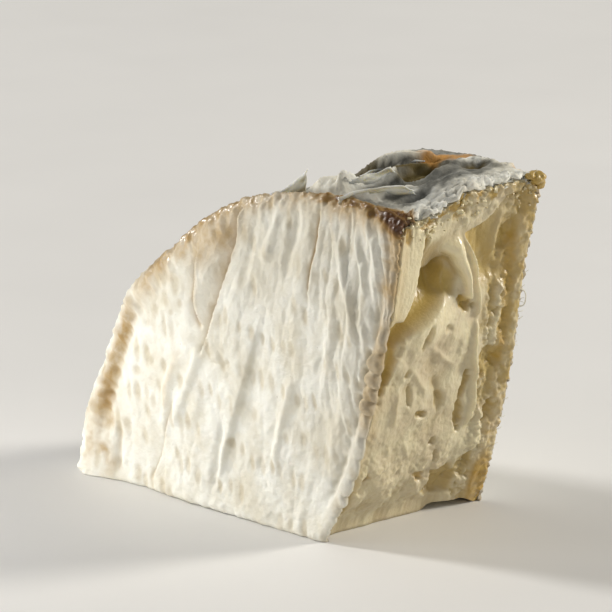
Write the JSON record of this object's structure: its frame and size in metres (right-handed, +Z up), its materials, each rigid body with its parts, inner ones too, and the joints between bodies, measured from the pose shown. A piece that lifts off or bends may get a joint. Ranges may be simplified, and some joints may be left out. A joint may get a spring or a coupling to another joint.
{
  "type": "soft cheese wedge",
  "caption": "Wedge of soft white-rinded cheese, cut from a round wheel and standing on one of its two cut faces.",
  "frame": {"origin": "middle of the bounding box, on the surface that the wedge stands on", "axes": "+Z up from the standing cut; +Y along the axis of the wheel that the wedge was cut from; +X from the curved rim's foot towards the upright end cut"},
  "size_m": [0.0684, 0.0336, 0.055],
  "materials": {
    "cheese": "matt, velvety white mould rind over soft ivory-yellow paste"
  },
  "bodies": {
    "root": {"cheese_wedge": "cheese"}
  },
  "joints": []
}
